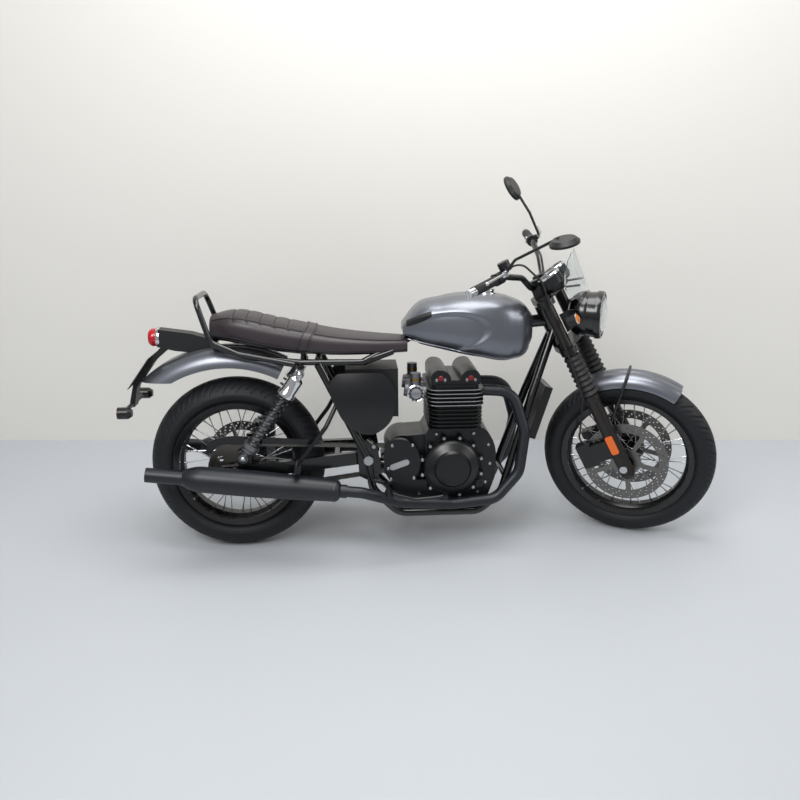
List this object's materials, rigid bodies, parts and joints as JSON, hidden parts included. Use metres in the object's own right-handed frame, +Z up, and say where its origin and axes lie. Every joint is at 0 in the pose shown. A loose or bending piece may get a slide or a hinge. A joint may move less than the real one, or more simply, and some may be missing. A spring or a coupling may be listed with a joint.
{
  "type": "roadster motorcycle",
  "caption": "Modern-classic roadster motorcycle with upright handlebar, finned engine, low silencers, wire wheels and a long seat with a grab rail, leaning on its side stand.",
  "frame": {"origin": "middle of the footprint of the whole motorcycle, on the ground under the tyres", "axes": "+X towards the front wheel along the frame, +Y to the rider's left, +Z up; the motorcycle leans left about X on its side stand and its steering is turned to the right"},
  "size_m": [2.1529, 0.8378, 1.2921],
  "materials": {
    "frame_black": "gloss black paint",
    "bright_steel": "zinc plated steel",
    "engine_black": "satin black coating on cast aluminium",
    "cover_black": "satin black coating on cast aluminium",
    "satin_alloy": "satin cast aluminium",
    "black_plastic": "grained black plastic",
    "panel_black": "satin black paint",
    "radiator_black": "matt black core",
    "exhaust_black": "matt black heat resistant coating",
    "silver_paint": "satin graphite silver paint",
    "polished_chrome": "polished",
    "seat_leather": "dark brown grained cover",
    "rail_black": "gloss black tube",
    "red_lens": "clear red lens",
    "plate_dark": "blank plate",
    "lamp_black": "gloss black shell",
    "shock_black": "black coil, bright body",
    "chain_steel": "oiled steel",
    "footrest_alloy": "dark forged aluminium",
    "yoke_black": "satin black",
    "fork_black": "satin black lower legs",
    "gaiter_rubber": "black bellows",
    "caliper_black": "satin black",
    "grip_rubber": "black grips",
    "control_black": "satin black levers and switches",
    "clear_lens": "clear lens",
    "clock_chrome": "polished bezel",
    "smoked_screen": "light smoked sheet",
    "mirror_black": "black shell, silvered glass",
    "bracket_black": "satin black",
    "tyre": "black tread rubber",
    "wheel_black": "black rim, hub and spokes",
    "disc_steel": "ground disc",
    "sprocket_steel": "steel"
  },
  "bodies": {
    "frame": {"main_frame": "frame_black", "swingarm": "frame_black", "axle_and_pivot_bolt": "bright_steel", "crankcase": "engine_black", "engine_covers": "engine_black", "cylinder_block": "engine_black", "cylinder_head": "engine_black", "cam_cover": "cover_black", "throttle_bodies": "satin_alloy", "airbox": "black_plastic", "side_panels": "panel_black", "radiator": "radiator_black", "header_pipes": "exhaust_black", "silencers": "exhaust_black", "fuel_tank": "silver_paint", "tank_cap": "polished_chrome", "seat": "seat_leather", "grab_rail": "rail_black", "rear_mudguard": "silver_paint", "tail_bracket": "black_plastic", "tail_lamp_lens": "red_lens", "number_plate": "plate_dark", "rear_indicators": "lamp_black", "shock_absorbers": "shock_black", "chain_guard": "black_plastic", "drive_chain": "chain_steel", "footrests": "footrest_alloy", "rear_caliper": "caliper_black"},
    "steering": {"yokes": "yoke_black", "fork_legs": "fork_black", "fork_gaiters": "gaiter_rubber", "front_axle": "bright_steel", "front_mudguard": "silver_paint", "front_calipers": "caliper_black", "handlebar": "rail_black", "grips": "grip_rubber", "controls": "control_black", "headlight_shell": "lamp_black", "headlight_lens": "clear_lens", "clocks": "clock_chrome", "flyscreen": "smoked_screen", "mirrors": "mirror_black", "fork_brackets": "bracket_black", "front_indicators": "lamp_black", "front_brake_hose": "grip_rubber"},
    "front_wheel": {"front_tyre": "tyre", "front_wheel": "wheel_black", "front_discs": "disc_steel"},
    "rear_wheel": {"rear_tyre": "tyre", "rear_wheel": "wheel_black", "rear_disc": "disc_steel", "rear_sprocket": "sprocket_steel"},
    "side_stand": {"side_stand": "frame_black"}
  },
  "joints": [
    {"name": "steering", "type": "hinge", "parent": "frame", "child": "steering", "pos_m": [0.4747, -0.0308, 0.80996], "axis": [-0.4548, 0.1394, 0.8796], "range_deg": [-9, 61]},
    {"name": "front_wheel_spin", "type": "hinge", "parent": "steering", "child": "front_wheel", "pos_m": [0.77945, -0.13013, 0.31758], "axis": [0.3905, 0.9189, 0.0563], "continuous": true},
    {"name": "rear_wheel_spin", "type": "hinge", "parent": "frame", "child": "rear_wheel", "pos_m": [-0.68622, -0.10869, 0.31702], "axis": [0.0002, 0.9877, -0.1564], "continuous": true},
    {"name": "side_stand_fold", "type": "hinge", "parent": "frame", "child": "side_stand", "pos_m": [-0.05905, -0.00007, 0.14046], "axis": [0.1229, 0.839, 0.53], "range_deg": [0, 95]}
  ]
}
